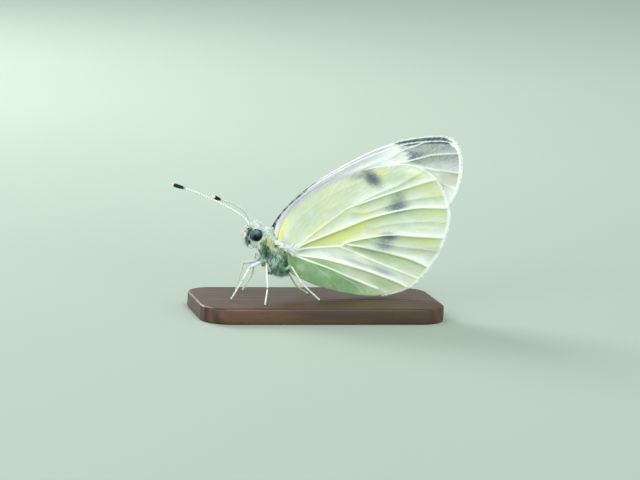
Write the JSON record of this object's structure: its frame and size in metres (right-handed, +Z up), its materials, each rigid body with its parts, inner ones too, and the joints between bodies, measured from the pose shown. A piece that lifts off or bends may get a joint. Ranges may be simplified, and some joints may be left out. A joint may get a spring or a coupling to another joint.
{
  "type": "white butterfly",
  "caption": "White butterfly at rest, veined wings closed over its back, slender clubbed antennae and thin legs, on a low wooden base.",
  "frame": {"origin": "centre of the underside of the base", "axes": "+X from the head to the tail, +Y to the butterfly's right side, +Z up"},
  "size_m": [0.036, 0.016, 0.0225],
  "materials": {
    "base_wood": "dark walnut, satin",
    "coat": "body skin under a coat of fine white and grey hair",
    "forewing": "scaled wing, white with a grey tip and dark spots",
    "hindwing": "scaled wing, cream to pale yellow-green with raised veins",
    "eye": "compound eye, dark blue-grey with darker spots",
    "palp": "haired, white with dark hairs",
    "proboscis": "coiled tongue, brown",
    "antenna": "ringed grey and white",
    "antenna_club": "dark club with a pale tip",
    "leg": "pale, finely scaled"
  },
  "bodies": {
    "root": {"stand_base": "base_wood", "head": "coat", "prothorax": "coat", "thorax": "coat", "abdomen": "coat", "proboscis": "proboscis", "eye_left": "eye", "palp_left": "palp", "antenna_left": "antenna", "antenna_club_left": "antenna_club", "forewing_left": "forewing", "hindwing_left": "hindwing", "eye_right": "eye", "palp_right": "palp", "antenna_right": "antenna", "antenna_club_right": "antenna_club", "forewing_right": "forewing", "hindwing_right": "hindwing", "coxa_fore_left": "leg", "femur_fore_left": "leg", "tibia_fore_left": "leg", "tarsus_fore_left": "leg", "coxa_fore_right": "leg", "femur_fore_right": "leg", "tibia_fore_right": "leg", "tarsus_fore_right": "leg", "coxa_mid_left": "leg", "femur_mid_left": "leg", "tibia_mid_left": "leg", "tarsus_mid_left": "leg", "coxa_mid_right": "leg", "femur_mid_right": "leg", "tibia_mid_right": "leg", "tarsus_mid_right": "leg", "coxa_hind_left": "leg", "femur_hind_left": "leg", "tibia_hind_left": "leg", "tarsus_hind_left": "leg", "coxa_hind_right": "leg", "femur_hind_right": "leg", "tibia_hind_right": "leg", "tarsus_hind_right": "leg"}
  },
  "joints": []
}
